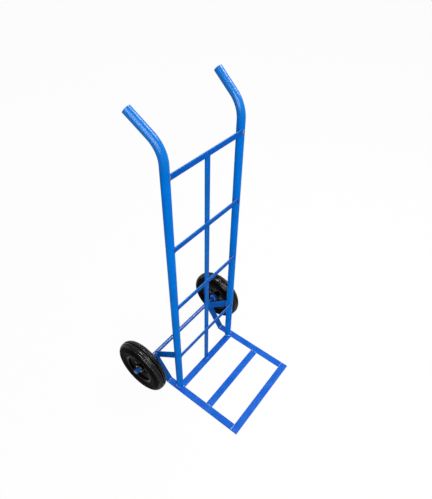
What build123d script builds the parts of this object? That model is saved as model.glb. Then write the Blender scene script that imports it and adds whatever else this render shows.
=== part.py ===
from build123d import *
import math
import os

# A two-wheeled hand truck, in millimetres and degrees.
# Z = 0 is the floor, -Y is ahead, and +X is the left of the person at the handles.

# Side rails, one bent tube each
tube_diameter = 25.4
tube_wall = 2.0
rail_spacing = 310.0
bend_height = 984.0
bend_radius = 84.0
bend_angle = 52.5
splay_angle = 7.5
grip_length = 77.0

# Handle plugs, pushed into the tubes
plug_length = 14.0
plug_wall = 1.8
plug_cap = 2.5
plug_fit = 0.05

# Flat bars
bar_thickness = 4.0
bar_edge_radius = 0.6
crossbar_width = 17.0
crossbar_inset = 1.0
crossbar_names = ("bottom_crossbar", "lower_crossbar", "upper_crossbar", "top_crossbar")
crossbar_shares = (0.209, 0.477, 0.728, 0.967)
centre_bar_width = 20.0
arm_width = 26.0

# Toe frame, lying on the floor
toe_bar_width = 26.0
toe_reach = 285.5
toe_tail = 50.0
toe_side_offset = 9.0
rear_bar_lap = 8.2
middle_bar_share = 0.492

# Wheels
tyre_diameter = 220.0
tyre_width = 50.0
shoulder_radius = 22.5
sidewall_height = 20.0
groove_radius = 1.0
groove_angles = (10.0, 25.0, 40.0, 55.0)
wheel_gap = 25.0
rim_seat_radius = 56.0
rim_sheet = 2.0
rim_inset = 5.0
rim_flange_height = 6.0
rim_lip_flare = 3.0
rim_web_radius = 38.0
rim_bend_radius = 3.0
rim_lip_radius = 1.5
hub_tube_diameter = 26.0
hub_tube_wall = 3.0
hub_length = 30.0
press_gap = 0.02

# Bolts that hold the rim halves together
bolt_count = 4
bolt_diameter = 6.0
bolt_offset = 29.0
bolt_across_flats = 10.0
bolt_head_height = 4.0
nut_height = 5.0
bolt_end = 2.0
bolt_hole_gap = 0.3
thread_gap = 0.05

# Axle and what stays on it
axle_diameter = 16.0
axle_setback = 118.5
axle_end = 4.5
axle_chamfer = 1.0
bush_length = 12.0
bush_flange_diameter = 25.0
bush_flange = 1.5
running_gap = 0.08
end_float = 0.5
stop_diameter = 32.0
stop_thickness = 8.0
washer_diameter = 30.0
washer_thickness = 2.0
washer_gap = 0.3
spacer_diameter = 21.0
spacer_length = 12.0
spacer_gap = 0.3

# Split pins through the axle's ends
pin_wire = 1.4
pin_slack = 0.1
pin_hole_gap = 0.15
pin_leg_length = 6.5
pin_leg_drop = 1.6
pin_neck = 0.8
pin_eye_width = 6.8
pin_eye_height = 7.7
pin_bend_radius = 1.3
pin_eye_radius = 1.8

# How far a cut runs past the metal
overrun = 10.0

# Places that follow from the sizes above
tube_radius = tube_diameter / 2
tyre_radius = tyre_diameter / 2
axle_radius = axle_diameter / 2
rail_x = rail_spacing / 2
rail_y = (toe_reach - axle_setback - tyre_radius) / 2
toe_side_x = rail_x + toe_side_offset
toe_inner_x = toe_side_x - toe_bar_width / 2
toe_outer_x = toe_side_x + toe_bar_width / 2
toe_front_y = rail_y - toe_reach
toe_tail_y = rail_y + toe_tail
crossbar_y = rail_y - tube_radius + crossbar_inset + bar_thickness / 2
centre_bar_y = crossbar_y + bar_thickness
rear_bar_y = centre_bar_y + bar_thickness / 2 + rear_bar_lap - toe_bar_width / 2
middle_bar_y = rail_y - toe_reach * middle_bar_share
front_bar_y = toe_front_y + toe_bar_width / 2
axle_y = rail_y + axle_setback
axle_z = tyre_radius
wheel_x = toe_outer_x + wheel_gap + tyre_width / 2
hub_half = hub_length / 2
hub_face = hub_half + bush_flange
rim_inner = tyre_width / 2 - rim_inset - rim_sheet
crossbar_heights = [bend_height * share for share in crossbar_shares]
top_height = crossbar_heights[-1]
arm_height = crossbar_heights[0]
washer_x = wheel_x + hub_face + end_float
pin_hole_radius = pin_wire + pin_slack / 2 + pin_hole_gap
spacer_x = washer_x + washer_thickness
pin_x = spacer_x + spacer_length + pin_hole_gap + pin_hole_radius
axle_end_x = pin_x + axle_end


def keep(piece, name):
    """Name a finished piece and write it."""
    piece.part.label = name
    export_step(piece.part, f"parts/{name}.step")
    print(name, len(piece.part.solids()), "solid(s)")


def bar_section(plane, width):
    """Section of a flat bar: its width along the plane's x, its thickness along the plane's y."""
    with BuildSketch(plane) as section:
        RectangleRounded(width, bar_thickness, bar_edge_radius)
    return section.sketch


def rail_path(side):
    """Centre line of one rail: up from the toe, then bent back and a little outwards."""
    splay = math.radians(splay_angle)
    back = Vector(side * math.sin(splay), math.cos(splay), 0)
    rail_plane = Plane(origin=(side * rail_x, rail_y, bar_thickness), x_dir=back, z_dir=back.cross(Vector(0, 0, 1)))
    with BuildLine(rail_plane) as path:
        post = Line((0, 0), (0, bend_height - bar_thickness))
        bend = JernArc(start=post @ 1, tangent=(0, 1), radius=bend_radius, arc_size=-bend_angle)
        Line(bend @ 1, bend @ 1 + bend % 1 * grip_length)
    return path.line


def make_rail(name, side):
    """Side rail of round tube, standing on the toe frame."""
    path = rail_path(side)
    with BuildPart() as rail:
        with BuildSketch(Plane(origin=path @ 0, z_dir=path % 0)):
            Circle(tube_radius)
            Circle(tube_radius - tube_wall, mode=Mode.SUBTRACT)
        sweep(path=path)
    keep(rail, name)


def make_handle_plug(name, side):
    """Hollow plastic plug, flush with the open end of a handle."""
    path = rail_path(side)
    end_plane = Plane(origin=path @ 1, z_dir=-(path % 1))
    plug_radius = tube_radius - tube_wall - plug_fit
    with BuildPart() as plug:
        with BuildSketch(end_plane):
            Circle(plug_radius)
        extrude(amount=plug_length)
        with BuildSketch(end_plane.offset(plug_cap)):
            Circle(plug_radius - plug_wall)
        extrude(amount=plug_length, mode=Mode.SUBTRACT)
    keep(plug, name)


def make_crossbar(name, height):
    """Crossbar on edge between the rails, its ends cut to the tubes."""
    with BuildPart() as crossbar:
        start = Plane(origin=(-rail_x, crossbar_y, height), x_dir=(0, 0, 1), z_dir=(1, 0, 0))
        extrude(bar_section(start, crossbar_width), amount=rail_spacing)
        with BuildSketch(Plane.XY.offset(height - crossbar_width)):
            with Locations((-rail_x, rail_y), (rail_x, rail_y)):
                Circle(tube_radius)
        extrude(amount=2 * crossbar_width, mode=Mode.SUBTRACT)
    keep(crossbar, name)


def make_centre_bar():
    """Upright bar down the middle, on the backs of the crossbars, up to the middle of the top one."""
    with BuildPart() as centre_bar:
        foot = Plane.XY.offset(bar_thickness)
        with BuildSketch(foot):
            with Locations((0, centre_bar_y)):
                RectangleRounded(centre_bar_width, bar_thickness, bar_edge_radius)
        extrude(amount=top_height - bar_thickness)
    keep(centre_bar, "centre_bar")


def make_toe_side_bar(name, side):
    """Side bar of the toe, from the front bar back to the strut."""
    with BuildPart() as toe_bar:
        start = Plane(
            origin=(side * toe_side_x, toe_front_y + toe_bar_width, bar_thickness / 2),
            x_dir=(-1, 0, 0),
            z_dir=(0, 1, 0),
        )
        extrude(bar_section(start, toe_bar_width), amount=toe_tail_y - toe_front_y - toe_bar_width)
    keep(toe_bar, name)


def make_toe_crossbar(name, bar_y, half_length):
    """Bar of the toe that lies across it."""
    with BuildPart() as toe_bar:
        start = Plane(origin=(-half_length, bar_y, bar_thickness / 2), x_dir=(0, 1, 0), z_dir=(1, 0, 0))
        extrude(bar_section(start, toe_bar_width), amount=2 * half_length)
    keep(toe_bar, name)


def cut_for_axle():
    """Cut the round seat for the axle across the piece that is being built."""
    with BuildSketch(Plane.YZ.offset(-axle_end_x)) as bore:
        with Locations((axle_y, axle_z)):
            Circle(axle_radius)
    extrude(bore.sketch, amount=2 * axle_end_x, mode=Mode.SUBTRACT)


def make_strut(name, side):
    """Strut that rises from the tail of the toe to the underside of the axle."""
    rise = axle_z - bar_thickness
    run = axle_y - toe_tail_y
    slope = math.atan2(rise, run)
    foot_y = toe_tail_y - bar_thickness / math.sin(slope) / 2
    way = Vector(0, axle_y - foot_y, rise)
    start = Plane(origin=(side * toe_side_x, foot_y, bar_thickness), x_dir=(1, 0, 0), z_dir=way)
    with BuildPart() as strut:
        extrude(bar_section(start.offset(-bar_thickness), toe_bar_width), amount=way.length + bar_thickness)
        split(bisect_by=Plane.XY.offset(bar_thickness), keep=Keep.TOP)
        cut_for_axle()
    keep(strut, name)


def make_arm(name, side):
    """Arm on edge, from the back of the rail down to the front of the axle."""
    way = Vector(0, axle_y - rail_y, axle_z - axle_radius - arm_height)
    start = Plane(origin=(side * rail_x, rail_y, arm_height), x_dir=way.cross(Vector(1, 0, 0)), z_dir=way)
    with BuildPart() as arm:
        extrude(bar_section(start, arm_width), amount=way.length - axle_radius)
        with BuildSketch(Plane.XY):
            with Locations((side * rail_x, rail_y)):
                Circle(tube_radius)
        extrude(amount=bend_height, mode=Mode.SUBTRACT)
        cut_for_axle()
    keep(arm, name)


def make_axle():
    """Round axle with a hole for the split pin near each end."""
    with BuildPart() as axle:
        with BuildSketch(Plane.YZ.offset(-axle_end_x)):
            with Locations((axle_y, axle_z)):
                Circle(axle_radius)
        extrude(amount=2 * axle_end_x)
        chamfer(axle.edges().filter_by(GeomType.CIRCLE), length=axle_chamfer)
        with BuildSketch(Plane.XY.offset(axle_z - axle_diameter)):
            with Locations((-pin_x, axle_y), (pin_x, axle_y)):
                Circle(pin_hole_radius)
        extrude(amount=2 * axle_diameter, mode=Mode.SUBTRACT)
    keep(axle, "axle")


def make_ring(name, start_x, thickness, outer_radius, bore_radius, side):
    """Flat ring round the axle, from start_x outwards."""
    first_face = Plane(origin=(side * start_x, axle_y, axle_z), z_dir=(side, 0, 0))
    with BuildPart() as ring:
        with BuildSketch(first_face):
            Circle(outer_radius)
            Circle(bore_radius, mode=Mode.SUBTRACT)
        extrude(amount=thickness)
    keep(ring, name)


def make_split_pin(name, side):
    """Split pin: one wire with an eye above the axle and two legs bent apart below it."""
    leg = (pin_wire + pin_slack) / 2
    low = -(axle_radius + pin_leg_drop)
    neck = axle_radius + pin_neck
    middle = neck + pin_eye_height / 2
    top = neck + pin_eye_height
    half_eye = pin_eye_width / 2
    right_half = [(pin_leg_length, low), (leg, low), (leg, neck), (half_eye, middle)]
    left_half = [(-y, z) for y, z in reversed(right_half)]
    half_radii = [pin_bend_radius, pin_bend_radius, pin_eye_radius]
    wire_plane = Plane(origin=(side * pin_x, axle_y, axle_z), x_dir=(0, 1, 0), z_dir=(1, 0, 0))
    with BuildLine(wire_plane) as path:
        FilletPolyline(*right_half, (0, top), *left_half, radius=[*half_radii, pin_eye_radius, *reversed(half_radii)])
    with BuildPart() as split_pin:
        with BuildSketch(Plane(origin=path.line @ 0, z_dir=path.line % 0)):
            Circle(pin_wire / 2)
        sweep(path=path.line)
    keep(split_pin, name)


def wheel_section_plane(side):
    """Section plane of a wheel: x runs outwards from the wheel's middle, y is the radius."""
    return Plane(origin=(side * wheel_x, axle_y, axle_z), x_dir=(side, 0, 0), z_dir=(0, -side, 0))


def wheel_face_plane(side, out):
    """Plane across a wheel, at a distance outwards from the wheel's middle."""
    return Plane(origin=(side * wheel_x, axle_y, axle_z), x_dir=(0, 1, 0), z_dir=(side, 0, 0)).offset(out)


wheel_axis = Axis((0, axle_y, axle_z), (1, 0, 0))


def make_tyre(name, side):
    """Solid rubber tyre with round shoulders and grooves round its tread."""
    half = tyre_width / 2
    bead = rim_inner - press_gap
    bore = rim_seat_radius + press_gap
    bead_top = rim_seat_radius + rim_flange_height
    shoulder_x = half - shoulder_radius
    shoulder_r = tyre_radius - shoulder_radius
    wall_top = bead_top + sidewall_height
    with BuildPart() as tyre:
        with BuildSketch(wheel_section_plane(side)):
            with BuildLine():
                crown = Line((0, tyre_radius), (shoulder_x, tyre_radius))
                shoulder = CenterArc((shoulder_x, shoulder_r), shoulder_radius, 0, 90)
                wall = Line((half, shoulder_r), (half, wall_top))
                flank = TangentArc(wall @ 1, (bead, bead_top), tangent=(0, -1))
                seat = FilletPolyline(flank @ 1, (bead, bore), (0, bore), radius=rim_lip_radius + press_gap)
                Line(seat @ 1, crown @ 0)
            make_face()
            mirror(about=Plane.YZ)
            for angle in groove_angles:
                out = shoulder_x + shoulder_radius * math.sin(math.radians(angle))
                radius = shoulder_r + shoulder_radius * math.cos(math.radians(angle))
                with Locations((out, radius), (-out, radius)):
                    Circle(groove_radius, mode=Mode.SUBTRACT)
            with Locations((0, tyre_radius)):
                Circle(groove_radius, mode=Mode.SUBTRACT)
        revolve(axis=wheel_axis)
    keep(tyre, name)


def make_rim_half(name, side, facing):
    """Pressed half of a rim: flat web, seat for the tyre and a flared lip. It faces out (1) or in (-1)."""
    hub_hole = hub_tube_diameter / 2 + press_gap
    flange_top = rim_seat_radius + rim_flange_height
    with BuildPart() as rim_half:
        with BuildSketch(wheel_section_plane(side)):
            with BuildLine():
                FilletPolyline(
                    (0, hub_hole),
                    (0, rim_web_radius),
                    (facing * rim_inner / 2, rim_seat_radius),
                    (facing * rim_inner, rim_seat_radius),
                    (facing * rim_inner, flange_top),
                    (facing * (rim_inner + rim_lip_flare), flange_top + rim_lip_flare),
                    radius=[rim_bend_radius, rim_bend_radius, rim_lip_radius, rim_lip_radius],
                )
                offset(amount=rim_sheet, side=Side.RIGHT if facing > 0 else Side.LEFT)
            make_face()
        revolve(axis=wheel_axis)
        with BuildSketch(wheel_face_plane(side, -overrun)):
            with PolarLocations(bolt_offset, bolt_count):
                Circle(bolt_diameter / 2 + bolt_hole_gap)
        extrude(amount=2 * overrun, mode=Mode.SUBTRACT)
    keep(rim_half, name)


def make_hub_tube(name, side):
    """Tube through the rim halves that holds the bushes."""
    with BuildPart() as hub_tube:
        with BuildSketch(wheel_face_plane(side, -hub_half)):
            Circle(hub_tube_diameter / 2)
            Circle(hub_tube_diameter / 2 - hub_tube_wall, mode=Mode.SUBTRACT)
        extrude(amount=2 * hub_half)
    keep(hub_tube, name)


def make_bushes(name, side):
    """Two flanged bushes, one in each end of the hub tube."""
    barrel_radius = hub_tube_diameter / 2 - hub_tube_wall - press_gap
    bore_radius = axle_radius + running_gap
    flange_radius = bush_flange_diameter / 2
    with BuildPart() as bushes:
        with BuildSketch(wheel_section_plane(side)):
            with BuildLine():
                Polyline(
                    (hub_half - bush_length, bore_radius),
                    (hub_half - bush_length, barrel_radius),
                    (hub_half, barrel_radius),
                    (hub_half, flange_radius),
                    (hub_face, flange_radius),
                    (hub_face, bore_radius),
                    close=True,
                )
            make_face()
            mirror(about=Plane.YZ)
        revolve(axis=wheel_axis)
    keep(bushes, name)


def make_rim_bolts(name, side):
    """Bolts through the two webs, heads on the outer one."""
    with BuildPart() as bolts:
        with BuildSketch(wheel_face_plane(side, rim_sheet)):
            with PolarLocations(bolt_offset, bolt_count):
                RegularPolygon(bolt_across_flats / 2, 6, major_radius=False)
        extrude(amount=bolt_head_height)
        with BuildSketch(wheel_face_plane(side, rim_sheet)):
            with PolarLocations(bolt_offset, bolt_count):
                Circle(bolt_diameter / 2)
        extrude(amount=-(2 * rim_sheet + nut_height + bolt_end))
    keep(bolts, name)


def make_rim_nuts(name, side):
    """Nuts on the inner web."""
    with BuildPart() as nuts:
        with BuildSketch(wheel_face_plane(side, -rim_sheet)):
            with PolarLocations(bolt_offset, bolt_count):
                RegularPolygon(bolt_across_flats / 2, 6, major_radius=False)
                Circle(bolt_diameter / 2 + thread_gap, mode=Mode.SUBTRACT)
        extrude(amount=-nut_height)
    keep(nuts, name)


os.makedirs("parts", exist_ok=True)

# Frame across the middle
for crossbar_name, crossbar_height in zip(crossbar_names, crossbar_heights):
    make_crossbar(crossbar_name, crossbar_height)
make_centre_bar()
make_toe_crossbar("toe_rear_bar", rear_bar_y, toe_inner_x)
make_toe_crossbar("toe_middle_bar", middle_bar_y, toe_inner_x)
make_toe_crossbar("toe_front_bar", front_bar_y, toe_outer_x)
make_axle()

# What the truck has on each side
for word, side in (("left", 1), ("right", -1)):
    make_rail(f"{word}_rail", side)
    make_handle_plug(f"{word}_handle_plug", side)
    make_toe_side_bar(f"{word}_toe_bar", side)
    make_strut(f"{word}_strut", side)
    make_arm(f"{word}_arm", side)
    stop_x = wheel_x - hub_face - end_float - stop_thickness
    make_ring(f"{word}_axle_stop", stop_x, stop_thickness, stop_diameter / 2, axle_radius, side)
    make_ring(f"{word}_end_washer", washer_x, washer_thickness, washer_diameter / 2, axle_radius + washer_gap, side)
    make_ring(f"{word}_spacer", spacer_x, spacer_length, spacer_diameter / 2, axle_radius + spacer_gap, side)
    make_split_pin(f"{word}_split_pin", side)
    make_tyre(f"{word}_tyre", side)
    make_rim_half(f"{word}_outer_rim", side, 1)
    make_rim_half(f"{word}_inner_rim", side, -1)
    make_hub_tube(f"{word}_hub_tube", side)
    make_bushes(f"{word}_bushes", side)
    make_rim_bolts(f"{word}_rim_bolts", side)
    make_rim_nuts(f"{word}_rim_nuts", side)
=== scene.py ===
import math

import bmesh
import bpy
from mathutils import Matrix, Quaternion, Vector


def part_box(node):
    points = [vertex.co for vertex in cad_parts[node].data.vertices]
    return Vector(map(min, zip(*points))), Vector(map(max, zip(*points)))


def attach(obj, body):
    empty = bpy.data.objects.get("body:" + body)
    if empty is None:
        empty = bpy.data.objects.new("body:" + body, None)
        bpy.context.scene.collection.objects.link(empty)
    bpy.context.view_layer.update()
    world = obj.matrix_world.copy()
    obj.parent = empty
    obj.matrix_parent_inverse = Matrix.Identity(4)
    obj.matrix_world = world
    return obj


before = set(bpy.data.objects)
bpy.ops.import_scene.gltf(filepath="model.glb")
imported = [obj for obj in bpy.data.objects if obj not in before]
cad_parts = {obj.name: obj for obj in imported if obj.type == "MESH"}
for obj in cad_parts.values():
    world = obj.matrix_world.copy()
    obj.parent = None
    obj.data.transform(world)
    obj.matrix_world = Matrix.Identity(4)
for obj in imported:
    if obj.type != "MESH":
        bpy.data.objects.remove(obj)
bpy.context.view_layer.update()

bl_info = {
    "name": "Hand truck",
    "version": (1, 0, 0),
    "blender": (4, 5, 0),
    "location": "3D View > Sidebar > Hand truck",
    "description": "Welds, tyre mouldings, finishes and studio for a two-wheeled hand truck",
    "category": "Object",
}

SIDES = {"left": 1, "right": -1}
CROSSBARS = ("bottom_crossbar", "lower_crossbar", "upper_crossbar", "top_crossbar")
WHEEL_AXIS = Vector((1, 0, 0))
MM = 0.001
WHITE = (1.0, 1.0, 1.0, 1.0)

# Sockets of a Mix node for colours, whose names are shared with those for numbers
MIX_SHARE, MIX_FIRST, MIX_SECOND, MIX_RESULT = 0, 6, 7, 2

# Clouds in the enamel: their size in mm, and the noise at which the coat is full and at which it is thin
WIDE_CLOUDS = (70, 0.34, 0.68)
TOE_CLOUDS = (50, 0.38, 0.62)
# On the welds the thin tone is a pale painted glint, in spots about 6 mm across
BEAD_GLINT_SPOTS = (6, 0.46, 0.6)

# Heights between which the tubes turn darker, greener and glossier towards the top, and the weight of the clear gloss
# there
TOP_TONE_FROM, TOP_TONE_FULL = 0.96, 1.03
TOP_GLOSS = 0.25

# Upward shares of a surface's normal between which its colour turns to a painted highlight
LIT_TOP_FROM, LIT_TOP_FULL = 0.7, 0.95

# Thickness of a bead's rings as shares of its radius: at its two ends, on a ripple's crest and between two ripples
BEAD_END, BEAD_CREST, BEAD_DIP = 0.5, 1.0, 0.84
# How deep a bead on the toe sinks in, as a share of its radius
BEAD_SINK = 0.35
# Fewest steps along a bead
LEAST_STEPS = 3

# Arcs that beads follow, in degrees. The foot of a rail overhangs the toe's bars at its inner rear, where it has no
# bead, and an arm meets the axle on one side.
FOOT_ARC = (-195, 102)
ARM_ARC = (-66, 57)
FULL_ARC = (0, 360)

# Share of the floor that the camera sees as plain white; the rest keeps the object's shadow
FLOOR_SHOWN = 0.96

# The camera: its place in metres, its turn, fall and roll in degrees, its lens and sensor in mm, and its clip
CAMERA_PLACE = (-0.75801, -0.57945, 1.50272)
CAMERA_YAW, CAMERA_FALL, CAMERA_ROLL = 53.211, 42.627, 1.52
CAMERA_LENS, CAMERA_SENSOR = 30.315, 36.0
CAMERA_CLIP = (0.05, 100.0)


def linear(code):
    """An sRGB hex code as linear red, green, blue and alpha."""
    shares = [int(code[k:k + 2], 16) / 255 for k in (0, 2, 4)]
    return tuple(s / 12.92 if s <= 0.04045 else ((s + 0.055) / 1.055) ** 2.4 for s in shares) + (1.0,)


def grey(value):
    """A grey ramp colour."""
    return (value, value, value, 1.0)


def per_metre(size_mm):
    """Texture scale at which one feature of a pattern is size_mm across, in Object coordinates."""
    return 1 / (size_mm * MM)


def add_node(tree, kind, inputs=None, stops=None, **settings):
    """Add a shader node: its settings, its inputs as values or as sockets to link, and a ramp's stops."""
    node = tree.nodes.new(kind)
    for key, value in settings.items():
        setattr(node, key, value)
    for key, value in (inputs or {}).items():
        if isinstance(value, bpy.types.NodeSocket):
            tree.links.new(value, node.inputs[key])
        else:
            node.inputs[key].default_value = value
    if stops:
        elements = node.color_ramp.elements
        while len(elements) < len(stops):
            elements.new(1.0)
        for element, (position, colour) in zip(elements, stops):
            element.position = position
            element.color = colour
    return node


def new_material(name):
    """An empty node material."""
    material = bpy.data.materials.new(name)
    material.use_nodes = True
    material.node_tree.nodes.clear()
    return material


def finish_nodes(material, *nodes):
    """Give CAD nodes a material."""
    for node in nodes:
        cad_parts[node].material_slots[0].material = material


def new_piece(name, bm, material, body):
    """Turn a finished bmesh into a piece that rides on a body."""
    bmesh.ops.recalc_face_normals(bm, faces=bm.faces)
    mesh = bpy.data.meshes.new(name)
    bm.to_mesh(mesh)
    bm.free()
    mesh.shade_smooth()
    mesh.materials.append(material)
    piece = bpy.data.objects.new(name, mesh)
    bpy.context.scene.collection.objects.link(piece)
    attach(piece, body)
    return piece


# Finishes


def gloss_enamel(name, thin, full, clouds=WIDE_CLOUDS, top_tone=None, sheen=None, gloss=0.0, gloss_roughness=0.22):
    """Gloss enamel sprayed on steel: even and bright, a little darker where it lies thick, with a fine orange peel.
    It may be darker, greener and glossier towards the top of the tubes (top_tone), paler on the faces that point up as
    a painted highlight (sheen), or have its clear gloss all over (gloss)."""
    material = new_material(name)
    tree = material.node_tree
    cloud_mm, cloud_full, cloud_thin = clouds
    place = add_node(tree, "ShaderNodeTexCoord").outputs["Object"]
    coats = add_node(tree, "ShaderNodeTexNoise", {"Vector": place, "Scale": per_metre(cloud_mm), "Detail": 3.0})
    spray = add_node(tree, "ShaderNodeTexNoise", {"Vector": place, "Scale": per_metre(9), "Detail": 4.0})
    # The real orange peel is about 1 mm across; drawn at 4 mm, because a finer one doesn't show.
    peel = add_node(tree, "ShaderNodeTexNoise", {"Vector": place, "Scale": per_metre(4), "Detail": 1.0})
    tones = [(cloud_full, linear(full)), (cloud_thin, linear(thin))]
    tone = add_node(tree, "ShaderNodeValToRGB", {"Fac": coats.outputs["Fac"]}, stops=tones).outputs["Color"]
    satin = [(0.3, grey(0.28)), (0.7, grey(0.42))]
    roughness = add_node(tree, "ShaderNodeValToRGB", {"Fac": spray.outputs["Fac"]}, stops=satin)
    bump = add_node(tree, "ShaderNodeBump", {"Strength": 0.1, "Distance": 0.03 * MM, "Height": peel.outputs["Fac"]})
    # Towards the top the tubes turn darker and greener, and take the clear gloss
    if top_tone:
        height = add_node(tree, "ShaderNodeSeparateXYZ", {"Vector": place}).outputs["Z"]
        toward_top = add_node(tree, "ShaderNodeMapRange", {"Value": height, "From Min": TOP_TONE_FROM, "From Max": TOP_TONE_FULL})
        shine = add_node(tree, "ShaderNodeMath", {0: toward_top.outputs["Result"], 1: TOP_GLOSS}, operation="MULTIPLY")
        gloss = shine.outputs[0]
        darker_top = {MIX_SHARE: toward_top.outputs["Result"], MIX_FIRST: tone, MIX_SECOND: linear(top_tone)}
        tone = add_node(tree, "ShaderNodeMix", darker_top, data_type="RGBA").outputs[MIX_RESULT]
    # Faces that point up turn paler: a painted highlight
    if sheen:
        facing = add_node(tree, "ShaderNodeTexCoord").outputs["Normal"]
        up = add_node(tree, "ShaderNodeSeparateXYZ", {"Vector": facing}).outputs["Z"]
        worn = add_node(tree, "ShaderNodeMapRange", {"Value": up, "From Min": LIT_TOP_FROM, "From Max": LIT_TOP_FULL})
        painted_highlight = {MIX_SHARE: worn.outputs["Result"], MIX_FIRST: tone, MIX_SECOND: linear(sheen)}
        tone = add_node(tree, "ShaderNodeMix", painted_highlight, data_type="RGBA").outputs[MIX_RESULT]
    shader = add_node(
        tree,
        "ShaderNodeBsdfPrincipled",
        {
            "Base Color": tone,
            "Roughness": roughness.outputs["Color"],
            "Specular IOR Level": 0.02,
            "Coat Weight": gloss,
            "Coat Roughness": gloss_roughness,
            "Normal": bump.outputs["Normal"],
            "Coat Normal": bump.outputs["Normal"],
        },
    )
    add_node(tree, "ShaderNodeOutputMaterial", {"Surface": shader.outputs["BSDF"]})
    return material


def moulded_rubber(name, black, dust):
    """Moulded natural rubber: near black, with a satin skin that shines in streaks along the ribs and is matt where
    dust sits in them."""
    material = new_material(name)
    tree = material.node_tree
    place = add_node(tree, "ShaderNodeTexCoord").outputs["Object"]
    low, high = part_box("left_tyre")
    centre = (low + high) / 2
    about = add_node(tree, "ShaderNodeMapping", {"Vector": place, "Location": (0.0, -centre.y, -centre.z)})
    parts = add_node(tree, "ShaderNodeSeparateXYZ", {"Vector": about.outputs["Vector"]})
    spoke = add_node(tree, "ShaderNodeCombineXYZ", {"Y": parts.outputs["Y"], "Z": parts.outputs["Z"]})
    radius = add_node(tree, "ShaderNodeVectorMath", {0: spoke.outputs["Vector"]}, operation="LENGTH")
    heading = add_node(tree, "ShaderNodeVectorMath", {0: spoke.outputs["Vector"]}, operation="NORMALIZE")
    # A streak is fine across the tyre and long round it: the heading, times this length, stands for the way round.
    round_mm, streak_mm = 14, 5
    way = add_node(
        tree, "ShaderNodeVectorMath", {0: heading.outputs["Vector"], "Scale": round_mm * MM}, operation="SCALE"
    )
    ways = add_node(tree, "ShaderNodeSeparateXYZ", {"Vector": way.outputs["Vector"]})
    # The way over the tyre from the middle of its tread: sideways, and then down its wall.
    side = add_node(tree, "ShaderNodeMath", {0: parts.outputs["X"]}, operation="ABSOLUTE")
    off = add_node(tree, "ShaderNodeMath", {0: side.outputs[0], 1: centre.x}, operation="SUBTRACT")
    off = add_node(tree, "ShaderNodeMath", {0: off.outputs[0]}, operation="ABSOLUTE")
    over = add_node(tree, "ShaderNodeMath", {0: off.outputs[0], 1: radius.outputs["Value"]}, operation="SUBTRACT")
    # The real ribs are about 2 mm apart; drawn at 6 mm, because finer ones don't show.
    half_rib_mm = 3
    rib = add_node(tree, "ShaderNodeMath", {0: over.outputs[0], 1: half_rib_mm * MM}, operation="PINGPONG")
    crest = add_node(tree, "ShaderNodeMath", {0: rib.outputs[0], 1: per_metre(half_rib_mm)}, operation="MULTIPLY")
    along = add_node(
        tree, "ShaderNodeCombineXYZ", {"X": parts.outputs["X"], "Y": radius.outputs["Value"], "Z": ways.outputs["Z"]}
    )
    streaks = add_node(
        tree,
        "ShaderNodeTexNoise",
        {"Vector": along.outputs["Vector"], "W": ways.outputs["Y"], "Scale": per_metre(streak_mm), "Detail": 2.0},
        noise_dimensions="4D",
    )
    worn = add_node(
        tree, "ShaderNodeMath", {0: streaks.outputs["Fac"], 1: crest.outputs[0]}, operation="MULTIPLY"
    )
    grain = add_node(tree, "ShaderNodeTexNoise", {"Vector": place, "Scale": per_metre(1.5), "Detail": 2.0})
    tones = [(0.15, linear(black)), (0.6, linear(dust))]
    tone = add_node(tree, "ShaderNodeValToRGB", {"Fac": worn.outputs[0]}, stops=tones)
    shine = [(0.18, grey(0.0)), (0.42, grey(1.0))]
    skin = add_node(tree, "ShaderNodeValToRGB", {"Fac": worn.outputs[0]}, stops=shine)
    # Its tread and shoulders have rubbed on things and shine; its walls are as matt as the mould left them.
    shoulder = {"From Min": -86 * MM, "From Max": -76 * MM, "To Min": 1.0, "To Max": 0.0}
    sheen = add_node(tree, "ShaderNodeMapRange", {"Value": over.outputs[0], **shoulder})
    skin = add_node(
        tree, "ShaderNodeMath", {0: skin.outputs["Color"], 1: sheen.outputs["Result"]}, operation="MULTIPLY"
    )
    ribbed = add_node(tree, "ShaderNodeBump", {"Strength": 0.8, "Distance": 0.8 * MM, "Height": crest.outputs[0]})
    bump = add_node(
        tree,
        "ShaderNodeBump",
        {"Strength": 0.3, "Distance": 0.1 * MM, "Height": grain.outputs["Fac"], "Normal": ribbed.outputs["Normal"]},
    )
    shader = add_node(
        tree,
        "ShaderNodeBsdfPrincipled",
        {
            "Base Color": tone.outputs["Color"],
            "Roughness": 0.5,
            "Specular IOR Level": 0.01,
            "Coat Weight": skin.outputs[0],
            "Coat Roughness": 0.2,
            "Normal": bump.outputs["Normal"],
            "Coat Normal": bump.outputs["Normal"],
        },
    )
    add_node(tree, "ShaderNodeOutputMaterial", {"Surface": shader.outputs["BSDF"]})
    return material


def stoved_black(name, colour, brown):
    """Stoved black paint on pressed steel: deep and glossy, with brown dust in the dish."""
    material = new_material(name)
    tree = material.node_tree
    place = add_node(tree, "ShaderNodeTexCoord").outputs["Object"]
    dirt = add_node(tree, "ShaderNodeTexNoise", {"Vector": place, "Scale": per_metre(14), "Detail": 6.0})
    tones = [(0.5, linear(colour)), (0.8, linear(brown))]
    tone = add_node(tree, "ShaderNodeValToRGB", {"Fac": dirt.outputs["Fac"]}, stops=tones)
    dulled = [(0.4, grey(0.2)), (0.7, grey(0.45))]
    roughness = add_node(tree, "ShaderNodeValToRGB", {"Fac": dirt.outputs["Fac"]}, stops=dulled)
    shader = add_node(
        tree,
        "ShaderNodeBsdfPrincipled",
        {"Base Color": tone.outputs["Color"], "Roughness": roughness.outputs["Color"], "Specular IOR Level": 0.06},
    )
    add_node(tree, "ShaderNodeOutputMaterial", {"Surface": shader.outputs["BSDF"]})
    return material


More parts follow.
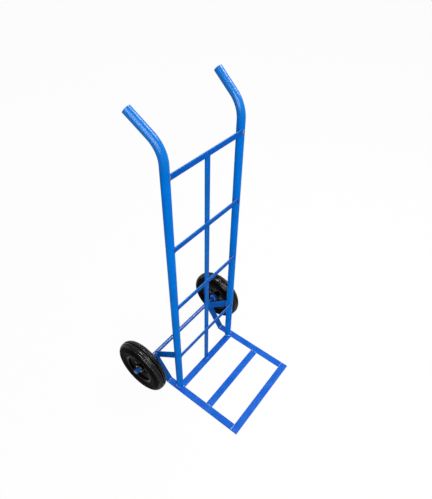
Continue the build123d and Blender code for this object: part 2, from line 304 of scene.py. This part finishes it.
def zinc_plate(name, bright, dull):
    """Bright zinc plate on turned steel: pale grey metal with cloudy duller patches."""
    material = new_material(name)
    tree = material.node_tree
    place = add_node(tree, "ShaderNodeTexCoord").outputs["Object"]
    cloud = add_node(tree, "ShaderNodeTexNoise", {"Vector": place, "Scale": per_metre(5), "Detail": 4.0})
    tones = [(0.35, linear(bright)), (0.7, linear(dull))]
    tone = add_node(tree, "ShaderNodeValToRGB", {"Fac": cloud.outputs["Fac"]}, stops=tones)
    dulled = [(0.35, grey(0.25)), (0.7, grey(0.42))]
    roughness = add_node(tree, "ShaderNodeValToRGB", {"Fac": cloud.outputs["Fac"]}, stops=dulled)
    shader = add_node(
        tree,
        "ShaderNodeBsdfPrincipled",
        {"Base Color": tone.outputs["Color"], "Roughness": roughness.outputs["Color"], "Metallic": 1.0},
    )
    add_node(tree, "ShaderNodeOutputMaterial", {"Surface": shader.outputs["BSDF"]})
    return material


def moulded_plastic(name, colour, worn, grain_mm):
    """Injection-moulded plastic: an even colour with a fine spark-eroded grain, a little paler where it rubs."""
    material = new_material(name)
    tree = material.node_tree
    place = add_node(tree, "ShaderNodeTexCoord").outputs["Object"]
    rub = add_node(tree, "ShaderNodeTexNoise", {"Vector": place, "Scale": per_metre(6), "Detail": 3.0})
    grain = add_node(tree, "ShaderNodeTexNoise", {"Vector": place, "Scale": per_metre(grain_mm)})
    tones = [(0.4, linear(colour)), (0.8, linear(worn))]
    tone = add_node(tree, "ShaderNodeValToRGB", {"Fac": rub.outputs["Fac"]}, stops=tones)
    bump = add_node(tree, "ShaderNodeBump", {"Strength": 0.2, "Distance": 0.05 * MM, "Height": grain.outputs["Fac"]})
    shader = add_node(
        tree,
        "ShaderNodeBsdfPrincipled",
        {"Base Color": tone.outputs["Color"], "Roughness": 0.5, "Normal": bump.outputs["Normal"]},
    )
    add_node(tree, "ShaderNodeOutputMaterial", {"Surface": shader.outputs["BSDF"]})
    return material


def seen_directly(tree):
    """1 for what the camera, a reflection or clear plastic sees, 0 for the light that falls on things."""
    path = add_node(tree, "ShaderNodeLightPath")
    seen = path.outputs["Is Camera Ray"]
    for ray in ("Is Glossy Ray", "Is Transmission Ray"):
        seen = add_node(tree, "ShaderNodeMath", {0: seen, 1: path.outputs[ray]}, operation="MAXIMUM").outputs[0]
    return seen


def white_paper(name, dark, light):
    """Matt white paper: an even white to the camera, a soft cloudy grey where the object's shadow falls."""
    material = new_material(name)
    tree = material.node_tree
    place = add_node(tree, "ShaderNodeTexCoord").outputs["Object"]
    fibre = add_node(tree, "ShaderNodeTexNoise", {"Vector": place, "Scale": per_metre(400)})
    tones = [(0.0, linear(dark)), (1.0, linear(light))]
    tone = add_node(tree, "ShaderNodeValToRGB", {"Fac": fibre.outputs["Fac"]}, stops=tones)
    seen = seen_directly(tree)
    pale = add_node(
        tree,
        "ShaderNodeMix",
        {MIX_SHARE: seen, MIX_FIRST: tone.outputs["Color"], MIX_SECOND: WHITE},
        data_type="RGBA",
    )
    matt = add_node(tree, "ShaderNodeBsdfDiffuse", {"Color": pale.outputs[MIX_RESULT]})
    white = add_node(tree, "ShaderNodeEmission", {"Color": WHITE, "Strength": 1.0})
    shown = add_node(tree, "ShaderNodeMath", {0: seen, 1: FLOOR_SHOWN}, operation="MULTIPLY")
    mixed = add_node(
        tree, "ShaderNodeMixShader", {0: shown.outputs[0], 1: matt.outputs["BSDF"], 2: white.outputs["Emission"]}
    )
    add_node(tree, "ShaderNodeOutputMaterial", {"Surface": mixed.outputs["Shader"]})
    return material


# Shapes


def lay_bead(bm, points, radius, sides=8):
    """Lay a weld bead along points: a round bead whose rings swell and shrink as the ripples of the weld, closed at
    both ends."""
    way = [(b - a).normalized() for a, b in zip(points, points[1:])]
    way.append(way[-1])
    turn = Vector((0, 0, 1)).rotation_difference(way[0]).to_matrix().to_4x4()
    bmesh.ops.create_circle(
        bm, cap_ends=True, radius=radius * BEAD_END, segments=sides, matrix=Matrix.Translation(points[0]) @ turn
    )
    bm.faces.ensure_lookup_table()
    end = bm.faces[-1]
    size = BEAD_END
    last = len(points) - 1
    for k in range(1, len(points)):
        wanted = BEAD_END if k == last else (BEAD_CREST if k % 2 else BEAD_DIP)
        grown = bmesh.ops.extrude_face_region(bm, geom=[end])["geom"]
        verts = [v for v in grown if isinstance(v, bmesh.types.BMVert)]
        end = [f for f in grown if isinstance(f, bmesh.types.BMFace)][0]
        bend = way[k - 1].rotation_difference(way[k]).to_matrix().to_4x4()
        move = Matrix.Translation(points[k]) @ bend @ Matrix.Translation(-points[k - 1])
        bmesh.ops.transform(bm, matrix=move, verts=verts)
        bmesh.ops.scale(bm, vec=[wanted / size] * 3, space=Matrix.Translation(-points[k]), verts=verts)
        size = wanted


def straight(start, end, pitch):
    """Points from start to end, about pitch apart."""
    start, end = Vector(start), Vector(end)
    steps = max(LEAST_STEPS, round((end - start).length / pitch))
    return [start.lerp(end, k / steps) for k in range(steps + 1)]


def arc(centre, across, up, radius, first, last, pitch):
    """Points round centre from angle first to last, in degrees from across towards up, about pitch apart."""
    steps = max(LEAST_STEPS, round(math.radians(abs(last - first)) * radius / pitch))
    angles = [math.radians(first + (last - first) * k / steps) for k in range(steps + 1)]
    return [Vector(centre) + (Vector(across) * math.cos(a) + Vector(up) * math.sin(a)) * radius for a in angles]


def spin_ring(bm, radius_out, centre_x, radius_ring, axle, sides=6, steps=96):
    """Raised ring round a wheel: a small round section spun about the axle."""
    place = Matrix.Translation(Vector((centre_x, axle.y, axle.z + radius_out)))
    turned = place @ Matrix.Rotation(math.radians(90), 4, "X")
    ring = bmesh.ops.create_circle(bm, radius=radius_ring, segments=sides, matrix=turned)["verts"]
    edges = list({e for v in ring for e in v.link_edges})
    bmesh.ops.spin(
        bm, geom=ring + edges, cent=axle, axis=WHEEL_AXIS, angle=math.tau, steps=steps, use_merge=True
    )


def left_rail_foot(tube_radius):
    """Where the left rail's axis meets the toe: its x and y."""
    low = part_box("left_rail")[0]
    return low.x + tube_radius, low.y + tube_radius


class HandTruckWelds(bpy.types.PropertyGroup):
    bar_bead: bpy.props.FloatProperty(
        name="Bar bead", description="Radius of the weld beads at the bars' joints", default=2.3 * MM, unit="LENGTH"
    )
    toe_bead: bpy.props.FloatProperty(
        name="Toe bead", description="Radius of the beads across the toe's joints and the centre bar",
        default=2.2 * MM, unit="LENGTH",
    )
    foot_bead: bpy.props.FloatProperty(
        name="Foot bead", description="Radius of the bead round each rail's foot", default=3.2 * MM, unit="LENGTH"
    )
    ripple: bpy.props.FloatProperty(
        name="Ripple", description="Half the distance from one ripple of a bead to the next", default=1.1 * MM,
        unit="LENGTH",
    )
    tube_radius: bpy.props.FloatProperty(
        name="Tube radius", description="Outer radius of the rails", default=12.7 * MM, unit="LENGTH"
    )
    arm_width: bpy.props.FloatProperty(
        name="Arm width", description="Width of the arms' flat bar", default=26 * MM, unit="LENGTH"
    )


class HandTruckTyres(bpy.types.PropertyGroup):
    ring_radius: bpy.props.FloatProperty(
        name="Ring radius", description="Radius of the raised rings on the sidewalls", default=0.9 * MM, unit="LENGTH"
    )
    outer_ring: bpy.props.FloatProperty(
        name="Outer ring", description="Distance of the outer raised ring from the axle", default=89.0 * MM,
        unit="LENGTH",
    )
    inner_ring: bpy.props.FloatProperty(
        name="Inner ring", description="Distance of the inner raised ring from the axle", default=83.5 * MM,
        unit="LENGTH",
    )


# The frame has one blue enamel. Each piece's copy of it gets its own tones, set to how lit the piece looks: painted
# light on the tubes, painted reflection on the toe, painted shade on the crossbars, and the other pieces' tones
# likewise matched to the light on them
class HandTruckFinish(bpy.types.PropertyGroup):
    tube_thin: bpy.props.StringProperty(
        name="Tube, thin paint", description="sRGB hex colour of the enamel on the tubes where it is thin",
        default="007eec",
    )
    tube_full: bpy.props.StringProperty(
        name="Tube, full paint", description="sRGB hex colour of the enamel on the tubes where it is thick",
        default="0077e0",
    )
    # The tubes' tone towards the top, darker and greener than the rest
    tube_top_tone: bpy.props.StringProperty(
        name="Tube, held", description="sRGB hex colour of the enamel on the tubes where hands hold them",
        default="007ad8",
    )
    crossbar_thin: bpy.props.StringProperty(
        name="Crossbar, thin paint", description="sRGB hex colour of the enamel on the crossbars where it is thin",
        default="0062cc",
    )
    crossbar_full: bpy.props.StringProperty(
        name="Crossbar, full paint", description="sRGB hex colour of the enamel on the crossbars where it is thick",
        default="005bc0",
    )
    # The crossbars' upward faces get this paler tone as a painted highlight
    crossbar_lit_top: bpy.props.StringProperty(
        name="Crossbar, rubbed", description="sRGB hex colour of the enamel on the crossbars' upper edges",
        default="4f8bd6",
    )
    arm_thin: bpy.props.StringProperty(
        name="Arm, thin paint", description="sRGB hex colour of the enamel on the arms where it is thin",
        default="0476e0",
    )
    arm_full: bpy.props.StringProperty(
        name="Arm, full paint", description="sRGB hex colour of the enamel on the arms where it is thick",
        default="0070d8",
    )
    strut_thin: bpy.props.StringProperty(
        name="Strut, thin paint", description="sRGB hex colour of the enamel on the struts where it is thin",
        default="1a62b8",
    )
    strut_full: bpy.props.StringProperty(
        name="Strut, full paint", description="sRGB hex colour of the enamel on the struts where it is thick",
        default="0e58aa",
    )
    spacer_thin: bpy.props.StringProperty(
        name="Spacer, thin paint", description="sRGB hex colour of the enamel on the spacers where it is thin",
        default="1c64a8",
    )
    spacer_full: bpy.props.StringProperty(
        name="Spacer, full paint", description="sRGB hex colour of the enamel on the spacers where it is thick",
        default="145690",
    )
    centre_thin: bpy.props.StringProperty(
        name="Centre bar, thin paint", description="sRGB hex colour of the enamel on the centre bar where it is thin",
        default="006fd2",
    )
    centre_full: bpy.props.StringProperty(
        name="Centre bar, full paint", description="sRGB hex colour of the enamel on the centre bar where it is thick",
        default="0068c6",
    )
    toe_thin: bpy.props.StringProperty(
        name="Toe, thin paint", description="sRGB hex colour of the enamel on the toe where it is thin",
        default="2473e6",
    )
    toe_full: bpy.props.StringProperty(
        name="Toe, full paint", description="sRGB hex colour of the enamel on the toe where it is thick",
        default="0a68de",
    )
    axle_thin: bpy.props.StringProperty(
        name="Axle, thin paint", description="sRGB hex colour of the enamel on the axle where it is thin",
        default="146ad4",
    )
    axle_full: bpy.props.StringProperty(
        name="Axle, full paint", description="sRGB hex colour of the enamel on the axle where it is thick",
        default="0c62c6",
    )
    # The pale colour on the weld crests is a painted glint
    weld_painted_glint: bpy.props.StringProperty(
        name="Weld crests", description="sRGB hex colour of the enamel where it is thin on the crests of the welds",
        default="a9cdf8",
    )
    rubber: bpy.props.StringProperty(
        name="Rubber", description="sRGB hex colour of the tyres", default="040404"
    )
    rubber_dust: bpy.props.StringProperty(
        name="Rubber dust", description="sRGB hex colour of the dusty places of the tyres", default="161414"
    )
    rim: bpy.props.StringProperty(
        name="Rim", description="sRGB hex colour of the rims and hub tubes", default="030303"
    )
    rim_dust: bpy.props.StringProperty(
        name="Rim dust", description="sRGB hex colour of the dust in the rims' dishes", default="120b08"
    )
    zinc: bpy.props.StringProperty(
        name="Zinc", description="sRGB hex colour of the zinc plate where it is bright", default="6c6f74"
    )
    zinc_dull: bpy.props.StringProperty(
        name="Dull zinc", description="sRGB hex colour of the zinc plate where it is dull", default="36393d"
    )
    plug: bpy.props.StringProperty(
        name="Plug", description="sRGB hex colour of the handles' plugs", default="1b1b1c"
    )
    plug_worn: bpy.props.StringProperty(
        name="Worn plug", description="sRGB hex colour of the handles' plugs where they rub", default="2c2c2e"
    )
    bush: bpy.props.StringProperty(
        name="Bush", description="sRGB hex colour of the bushes", default="d8d3c4"
    )
    bush_worn: bpy.props.StringProperty(
        name="Worn bush", description="sRGB hex colour of the bushes where they rub", default="bdb6a2"
    )


class HandTruckStage(bpy.types.PropertyGroup):
    floor_size: bpy.props.FloatProperty(
        name="Floor", description="Length and width of the floor", default=40.0, unit="LENGTH"
    )
    floor_dark: bpy.props.StringProperty(
        name="Floor, dark", description="sRGB hex colour of the floor's paper at its darkest", default="cacaca"
    )
    floor_light: bpy.props.StringProperty(
        name="Floor, light", description="sRGB hex colour of the floor's paper at its lightest", default="d0d0d0"
    )
    room_level: bpy.props.FloatProperty(
        name="Room light", description="Level of the even light from all round", default=0.22
    )
    fill_power: bpy.props.FloatProperty(
        name="Front light", description="Power of the fill light in front on the right", default=51.0, unit="POWER"
    )
    ceiling_power: bpy.props.FloatProperty(
        name="Ceiling light", description="Power of the fill light above on the left", default=30.0, unit="POWER"
    )
    side_shine: bpy.props.FloatProperty(
        name="Side shine", description="Power of the tall softbox that shines in the handles", default=160.0,
        unit="POWER",
    )
    ceiling_shine: bpy.props.FloatProperty(
        name="Ceiling shine", description="Power of the strip that shines along the axle", default=135.0, unit="POWER"
    )
    wheel_shine: bpy.props.FloatProperty(
        name="Wheel shine", description="Power of the strip that shines on the tyres", default=48.0, unit="POWER"
    )


class HANDTRUCK_OT_frame_finish(bpy.types.Operator):
    """Give the welded frame its enamel"""

    bl_idname = "hand_truck.frame_finish"
    bl_label = "Frame finish"

    def execute(self, context):
        finish = context.scene.hand_truck_finish
        # Each piece takes its own copy of the one enamel, with tones that paint in the light and shade on it
        on_tube = gloss_enamel("gloss_enamel_on_tube", finish.tube_thin, finish.tube_full, top_tone=finish.tube_top_tone)
        on_arm = gloss_enamel("gloss_enamel_on_arm", finish.arm_thin, finish.arm_full)
        on_strut = gloss_enamel("gloss_enamel_on_strut", finish.strut_thin, finish.strut_full)
        on_spacer = gloss_enamel("gloss_enamel_on_spacer", finish.spacer_thin, finish.spacer_full)
        on_crossbar = gloss_enamel(
            "gloss_enamel_on_crossbar", finish.crossbar_thin, finish.crossbar_full, sheen=finish.crossbar_lit_top
        )
        on_centre = gloss_enamel("gloss_enamel_on_centre_bar", finish.centre_thin, finish.centre_full)
        on_toe = gloss_enamel("gloss_enamel_on_toe", finish.toe_thin, finish.toe_full, TOE_CLOUDS)
        on_axle = gloss_enamel(
            "gloss_enamel_on_round_bar", finish.axle_thin, finish.axle_full, gloss=0.5, gloss_roughness=0.27
        )
        # The welds' enamel: the crossbars' full tone with pale spots of painted glint in it
        gloss_enamel("gloss_enamel_with_painted_glints", finish.weld_painted_glint, finish.crossbar_full, BEAD_GLINT_SPOTS, gloss=1.0)
        finish_nodes(on_crossbar, *CROSSBARS)
        finish_nodes(on_centre, "centre_bar")
        finish_nodes(on_toe, "toe_rear_bar", "toe_middle_bar", "toe_front_bar")
        finish_nodes(on_axle, "axle")
        for word in SIDES:
            finish_nodes(on_tube, f"{word}_rail")
            finish_nodes(on_toe, f"{word}_toe_bar")
            finish_nodes(on_strut, f"{word}_strut")
            finish_nodes(on_arm, f"{word}_arm")
            finish_nodes(on_axle, f"{word}_axle_stop")
            finish_nodes(on_spacer, f"{word}_spacer")
        return {"FINISHED"}


class HANDTRUCK_OT_small_parts_finish(bpy.types.Operator):
    """Give the pins, washers, bolts, plugs and bushes their finishes"""

    bl_idname = "hand_truck.small_parts_finish"
    bl_label = "Small parts finish"

    def execute(self, context):
        finish = context.scene.hand_truck_finish
        zinc = zinc_plate("bright_zinc_plate", finish.zinc, finish.zinc_dull)
        polyethylene = moulded_plastic("moulded_polyethylene", finish.plug, finish.plug_worn, grain_mm=0.8)
        nylon = moulded_plastic("moulded_nylon", finish.bush, finish.bush_worn, grain_mm=0.6)
        for word in SIDES:
            finish_nodes(zinc, *[f"{word}_{piece}" for piece in ("end_washer", "split_pin", "rim_bolts", "rim_nuts")])
            finish_nodes(polyethylene, f"{word}_handle_plug")
            finish_nodes(nylon, f"{word}_bushes")
        return {"FINISHED"}


class HANDTRUCK_OT_wheels_finish(bpy.types.Operator):
    """Give the tyres and the rims their finishes"""

    bl_idname = "hand_truck.wheels_finish"
    bl_label = "Wheels finish"

    def execute(self, context):
        finish = context.scene.hand_truck_finish
        rubber = moulded_rubber("moulded_rubber", finish.rubber, finish.rubber_dust)
        black = stoved_black("stoved_black_paint", finish.rim, finish.rim_dust)
        for word in SIDES:
            finish_nodes(rubber, f"{word}_tyre")
            finish_nodes(black, f"{word}_outer_rim", f"{word}_inner_rim", f"{word}_hub_tube")
        return {"FINISHED"}


class HANDTRUCK_OT_tyre_rings(bpy.types.Operator):
    """Model the raised rings on the tyres' sidewalls"""

    bl_idname = "hand_truck.tyre_rings"
    bl_label = "Tyre rings"

    def execute(self, context):
        sizes = context.scene.hand_truck_tyres
        rubber = bpy.data.materials["moulded_rubber"]
        for word in SIDES:
            low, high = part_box(f"{word}_tyre")
            centre = (low + high) / 2
            bm = bmesh.new()
            for face_x in (low.x, high.x):
                for distance in (sizes.outer_ring, sizes.inner_ring):
                    spin_ring(bm, distance, face_x, sizes.ring_radius, centre)
            new_piece(f"{word}_tyre_rings", bm, rubber, f"{word}_wheel")
        return {"FINISHED"}


class HANDTRUCK_OT_crossbar_welds(bpy.types.Operator):
    """Model the weld beads that join the crossbars to the rails and to the centre bar"""

    bl_idname = "hand_truck.crossbar_welds"
    bl_label = "Crossbar welds"

    def execute(self, context):
        sizes = context.scene.hand_truck_welds
        rail_x, rail_y = left_rail_foot(sizes.tube_radius)
        bar_low, bar_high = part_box("centre_bar")
        for crossbar in CROSSBARS:
            at_top = crossbar == CROSSBARS[-1]
            enamel = bpy.data.materials["gloss_enamel_with_painted_glints" if at_top else "gloss_enamel_on_crossbar"]
            low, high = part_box(crossbar)
            bm = bmesh.new()
            for face_y in (low.y, high.y):
                away = rail_y - face_y
                joint_x = rail_x - math.sqrt(sizes.tube_radius ** 2 - away ** 2)
                for side in SIDES.values():
                    points = straight((side * joint_x, face_y, low.z), (side * joint_x, face_y, high.z), sizes.ripple)
                    lay_bead(bm, points, sizes.bar_bead)
            # The centre bar ends behind the top crossbar, so it crosses only that one's lower edge.
            for edge_z in [low.z] if at_top else [low.z, high.z]:
                points = straight((bar_low.x, bar_low.y, edge_z), (bar_high.x, bar_low.y, edge_z), sizes.ripple)
                lay_bead(bm, points, sizes.toe_bead)
            new_piece(f"{crossbar}_welds", bm, enamel, "frame")
        return {"FINISHED"}


class HANDTRUCK_OT_toe_welds(bpy.types.Operator):
    """Model the weld beads of the toe frame, of the rails' feet and of the centre bar's foot"""

    bl_idname = "hand_truck.toe_welds"
    bl_label = "Toe welds"

    def execute(self, context):
        sizes = context.scene.hand_truck_welds
        enamel = bpy.data.materials["gloss_enamel_with_painted_glints"]
        rail_x, rail_y = left_rail_foot(sizes.tube_radius)
        side_low, side_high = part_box("left_toe_bar")
        front_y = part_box("toe_front_bar")[1].y
        middle_low, middle_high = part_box("toe_middle_bar")
        rear_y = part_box("toe_rear_bar")[0].y
        foot_low, foot_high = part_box("centre_bar")
        top = side_high.z - sizes.toe_bead * BEAD_SINK
        bm = bmesh.new()
        for side in SIDES.values():
            joints = [
                ((side * side_low.x, front_y, top), (side * side_high.x, front_y, top)),
                ((side * side_low.x, middle_low.y, top), (side * side_low.x, middle_high.y, top)),
                ((side * side_low.x, rear_y, top), (side * side_low.x, rail_y - sizes.tube_radius, top)),
            ]
            for start, end in joints:
                lay_bead(bm, straight(start, end, sizes.ripple), sizes.toe_bead)
            rail_foot = (side * rail_x, rail_y, side_high.z)
            points = arc(rail_foot, (side, 0, 0), (0, 1, 0), sizes.tube_radius, *FOOT_ARC, sizes.ripple)
            lay_bead(bm, points, sizes.foot_bead)
        for edge_y in (foot_low.y, foot_high.y):
            points = straight((foot_low.x, edge_y, foot_low.z), (foot_high.x, edge_y, foot_low.z), sizes.ripple)
            lay_bead(bm, points, sizes.toe_bead)
        new_piece("toe_welds", bm, enamel, "frame")
        return {"FINISHED"}


class HANDTRUCK_OT_axle_welds(bpy.types.Operator):
    """Model the weld beads of the struts, the arms and the axle"""

    bl_idname = "hand_truck.axle_welds"
    bl_label = "Axle welds"

    def execute(self, context):
        sizes = context.scene.hand_truck_welds
        enamel = bpy.data.materials["gloss_enamel_with_painted_glints"]
        axle_low, axle_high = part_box("axle")
        axle = (axle_low + axle_high) / 2
        radius = (axle_high.z - axle_low.z) / 2
        rail_y = left_rail_foot(sizes.tube_radius)[1]
        bar_low, bar_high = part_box("bottom_crossbar")
        for word, side in SIDES.items():
            bm = bmesh.new()
            low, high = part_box(f"{word}_strut")
            tail_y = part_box(f"{word}_toe_bar")[1].y
            way = Vector((0, axle.y - (low.y + tail_y) / 2, axle.z - low.z)).normalized()
            out = Vector((0, way.z, -way.y))
            half = (tail_y - low.y) / 2 * way.z
            for face, foot_y in ((-1, low.y), (1, tail_y)):
                points = straight((low.x, foot_y, low.z), (high.x, foot_y, low.z), sizes.ripple)
                lay_bead(bm, points, sizes.bar_bead)
                top = Vector((0, axle.y, axle.z)) - way * math.sqrt(radius ** 2 - half ** 2) + out * (face * half)
                points = straight((low.x, top.y, top.z), (high.x, top.y, top.z), sizes.ripple)
                lay_bead(bm, points, sizes.bar_bead)
            new_piece(f"{word}_strut_welds", bm, enamel, "frame")

            bm = bmesh.new()
            low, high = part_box(f"{word}_arm")
            fall = Vector((0, axle.y - rail_y, axle.z - radius - (bar_low.z + bar_high.z) / 2)).normalized()
            depth = sizes.arm_width / fall.y
            for face_x in (low.x, high.x):
                points = straight((face_x, low.y, high.z - depth), (face_x, low.y, high.z), sizes.ripple)
                lay_bead(bm, points, sizes.bar_bead)
                on_axle = (face_x, axle.y, axle.z)
                points = arc(on_axle, -fall, WHEEL_AXIS.cross(fall), radius, *ARM_ARC, sizes.ripple)
                lay_bead(bm, points, sizes.bar_bead)
            stop_low, stop_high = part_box(f"{word}_axle_stop")
            inner_x = stop_low.x if side > 0 else stop_high.x
            points = arc((inner_x, axle.y, axle.z), (0, 1, 0), (0, 0, 1), radius, *FULL_ARC, sizes.ripple)
            lay_bead(bm, points, sizes.bar_bead)
            new_piece(f"{word}_arm_welds", bm, enamel, "frame")
        return {"FINISHED"}


class HANDTRUCK_OT_stage(bpy.types.Operator):
    """Set up the floor, the lights and the camera"""

    bl_idname = "hand_truck.stage"
    bl_label = "Stage"

    def execute(self, context):
        sizes = context.scene.hand_truck_stage
        scene = context.scene
        scene.view_settings.view_transform = "Standard"
        bm = bmesh.new()
        bmesh.ops.create_grid(bm, x_segments=1, y_segments=1, size=sizes.floor_size / 2)
        mesh = bpy.data.meshes.new("studio_floor")
        bm.to_mesh(mesh)
        bm.free()
        mesh.materials.append(white_paper("matt_white_paper", sizes.floor_dark, sizes.floor_light))
        floor = bpy.data.objects.new("studio_floor", mesh)
        scene.collection.objects.link(floor)

        world = bpy.data.worlds.new("even_room")
        world.use_nodes = True
        tree = world.node_tree
        tree.nodes.clear()
        strength = add_node(
            tree, "ShaderNodeMapRange", {"Value": seen_directly(tree), "To Min": sizes.room_level, "To Max": 1.0}
        )
        sky = add_node(tree, "ShaderNodeBackground", {"Color": WHITE, "Strength": strength.outputs["Result"]})
        add_node(tree, "ShaderNodeOutputWorld", {"Surface": sky.outputs["Background"]})
        scene.world = world

        # Name, place, target, width, height, roll in degrees, power, and whether the lamp lights and shines. The
        # ceiling fill only lights; the softbox and the strips only shine, where the gloss in the photograph shows them.
        lamps = (
            ("front_fill", (-1.54, -1.97, 2.2), (0.0, 0.0, 0.55), 1.4, 1.4, 0, sizes.fill_power, True, True),
            ("ceiling_fill", (1.1, -0.25, 2.3), (1.1, -0.25, 0.0), 1.5, 1.4, 0, sizes.ceiling_power, True, False),
            ("tall_softbox", (-1.6, -0.8, 2.3), (0.0, -0.8, 2.3), 1.4, 2.6, -12, sizes.side_shine, False, True),
            ("ceiling_strip", (1.15, -0.5, 2.3), (1.15, -0.5, 0.0), 1.0, 1.1, 0, sizes.ceiling_shine, False, True),
            ("wheel_strip", (0.4, 0.55, 2.3), (0.4, 0.55, 0.0), 0.5, 0.5, 0, sizes.wheel_shine, False, True),
        )
        for name, place, target, width, height, roll, power, lights, shines in lamps:
            lamp = bpy.data.lights.new(name, "AREA")
            lamp.shape = "RECTANGLE"
            lamp.size, lamp.size_y, lamp.energy = width, height, power
            light = bpy.data.objects.new(name, lamp)
            aim = (Vector(target) - Vector(place)).to_track_quat("-Z", "Y")
            light.location = place
            light.rotation_euler = (aim @ Quaternion((0, 0, 1), math.radians(roll))).to_euler()
            light.visible_diffuse, light.visible_glossy = lights, shines
            scene.collection.objects.link(light)

        camera = bpy.data.cameras.new("camera")
        camera.sensor_fit = "VERTICAL"
        camera.sensor_height = camera.sensor_width = CAMERA_SENSOR
        camera.lens = CAMERA_LENS
        camera.clip_start, camera.clip_end = CAMERA_CLIP
        viewer = bpy.data.objects.new("camera", camera)
        yaw, fall, roll = (math.radians(angle) for angle in (CAMERA_YAW, CAMERA_FALL, CAMERA_ROLL))
        ahead = Vector((math.sin(yaw) * math.cos(fall), math.cos(yaw) * math.cos(fall), -math.sin(fall)))
        level = Vector((math.cos(yaw), -math.sin(yaw), 0))
        rise = level.cross(ahead)
        right = level * math.cos(roll) + rise * math.sin(roll)
        up = rise * math.cos(roll) - level * math.sin(roll)
        turn = Matrix((right, up, -ahead)).transposed().to_4x4()
        viewer.matrix_world = Matrix.Translation(CAMERA_PLACE) @ turn
        scene.collection.objects.link(viewer)
        scene.camera = viewer
        return {"FINISHED"}


OPERATORS = (
    HANDTRUCK_OT_frame_finish,
    HANDTRUCK_OT_small_parts_finish,
    HANDTRUCK_OT_wheels_finish,
    HANDTRUCK_OT_tyre_rings,
    HANDTRUCK_OT_crossbar_welds,
    HANDTRUCK_OT_toe_welds,
    HANDTRUCK_OT_axle_welds,
    HANDTRUCK_OT_stage,
)


class HANDTRUCK_PT_panel(bpy.types.Panel):
    """Hand truck tools"""

    bl_label = "Hand truck"
    bl_space_type = "VIEW_3D"
    bl_region_type = "UI"
    bl_category = "Hand truck"

    def draw(self, context):
        for operator in OPERATORS:
            self.layout.operator(operator.bl_idname)


GROUPS = {
    "hand_truck_welds": HandTruckWelds,
    "hand_truck_tyres": HandTruckTyres,
    "hand_truck_finish": HandTruckFinish,
    "hand_truck_stage": HandTruckStage,
}
CLASSES = (*GROUPS.values(), *OPERATORS, HANDTRUCK_PT_panel)


def register():
    for cls in CLASSES:
        bpy.utils.register_class(cls)
    for name, group in GROUPS.items():
        setattr(bpy.types.Scene, name, bpy.props.PointerProperty(type=group))


def unregister():
    for name in GROUPS:
        delattr(bpy.types.Scene, name)
    for cls in reversed(CLASSES):
        bpy.utils.unregister_class(cls)


def main():
    register()
    for operator in OPERATORS:
        group, name = operator.bl_idname.split(".")
        getattr(getattr(bpy.ops, group), name)()


if __name__ == "__main__":
    main()
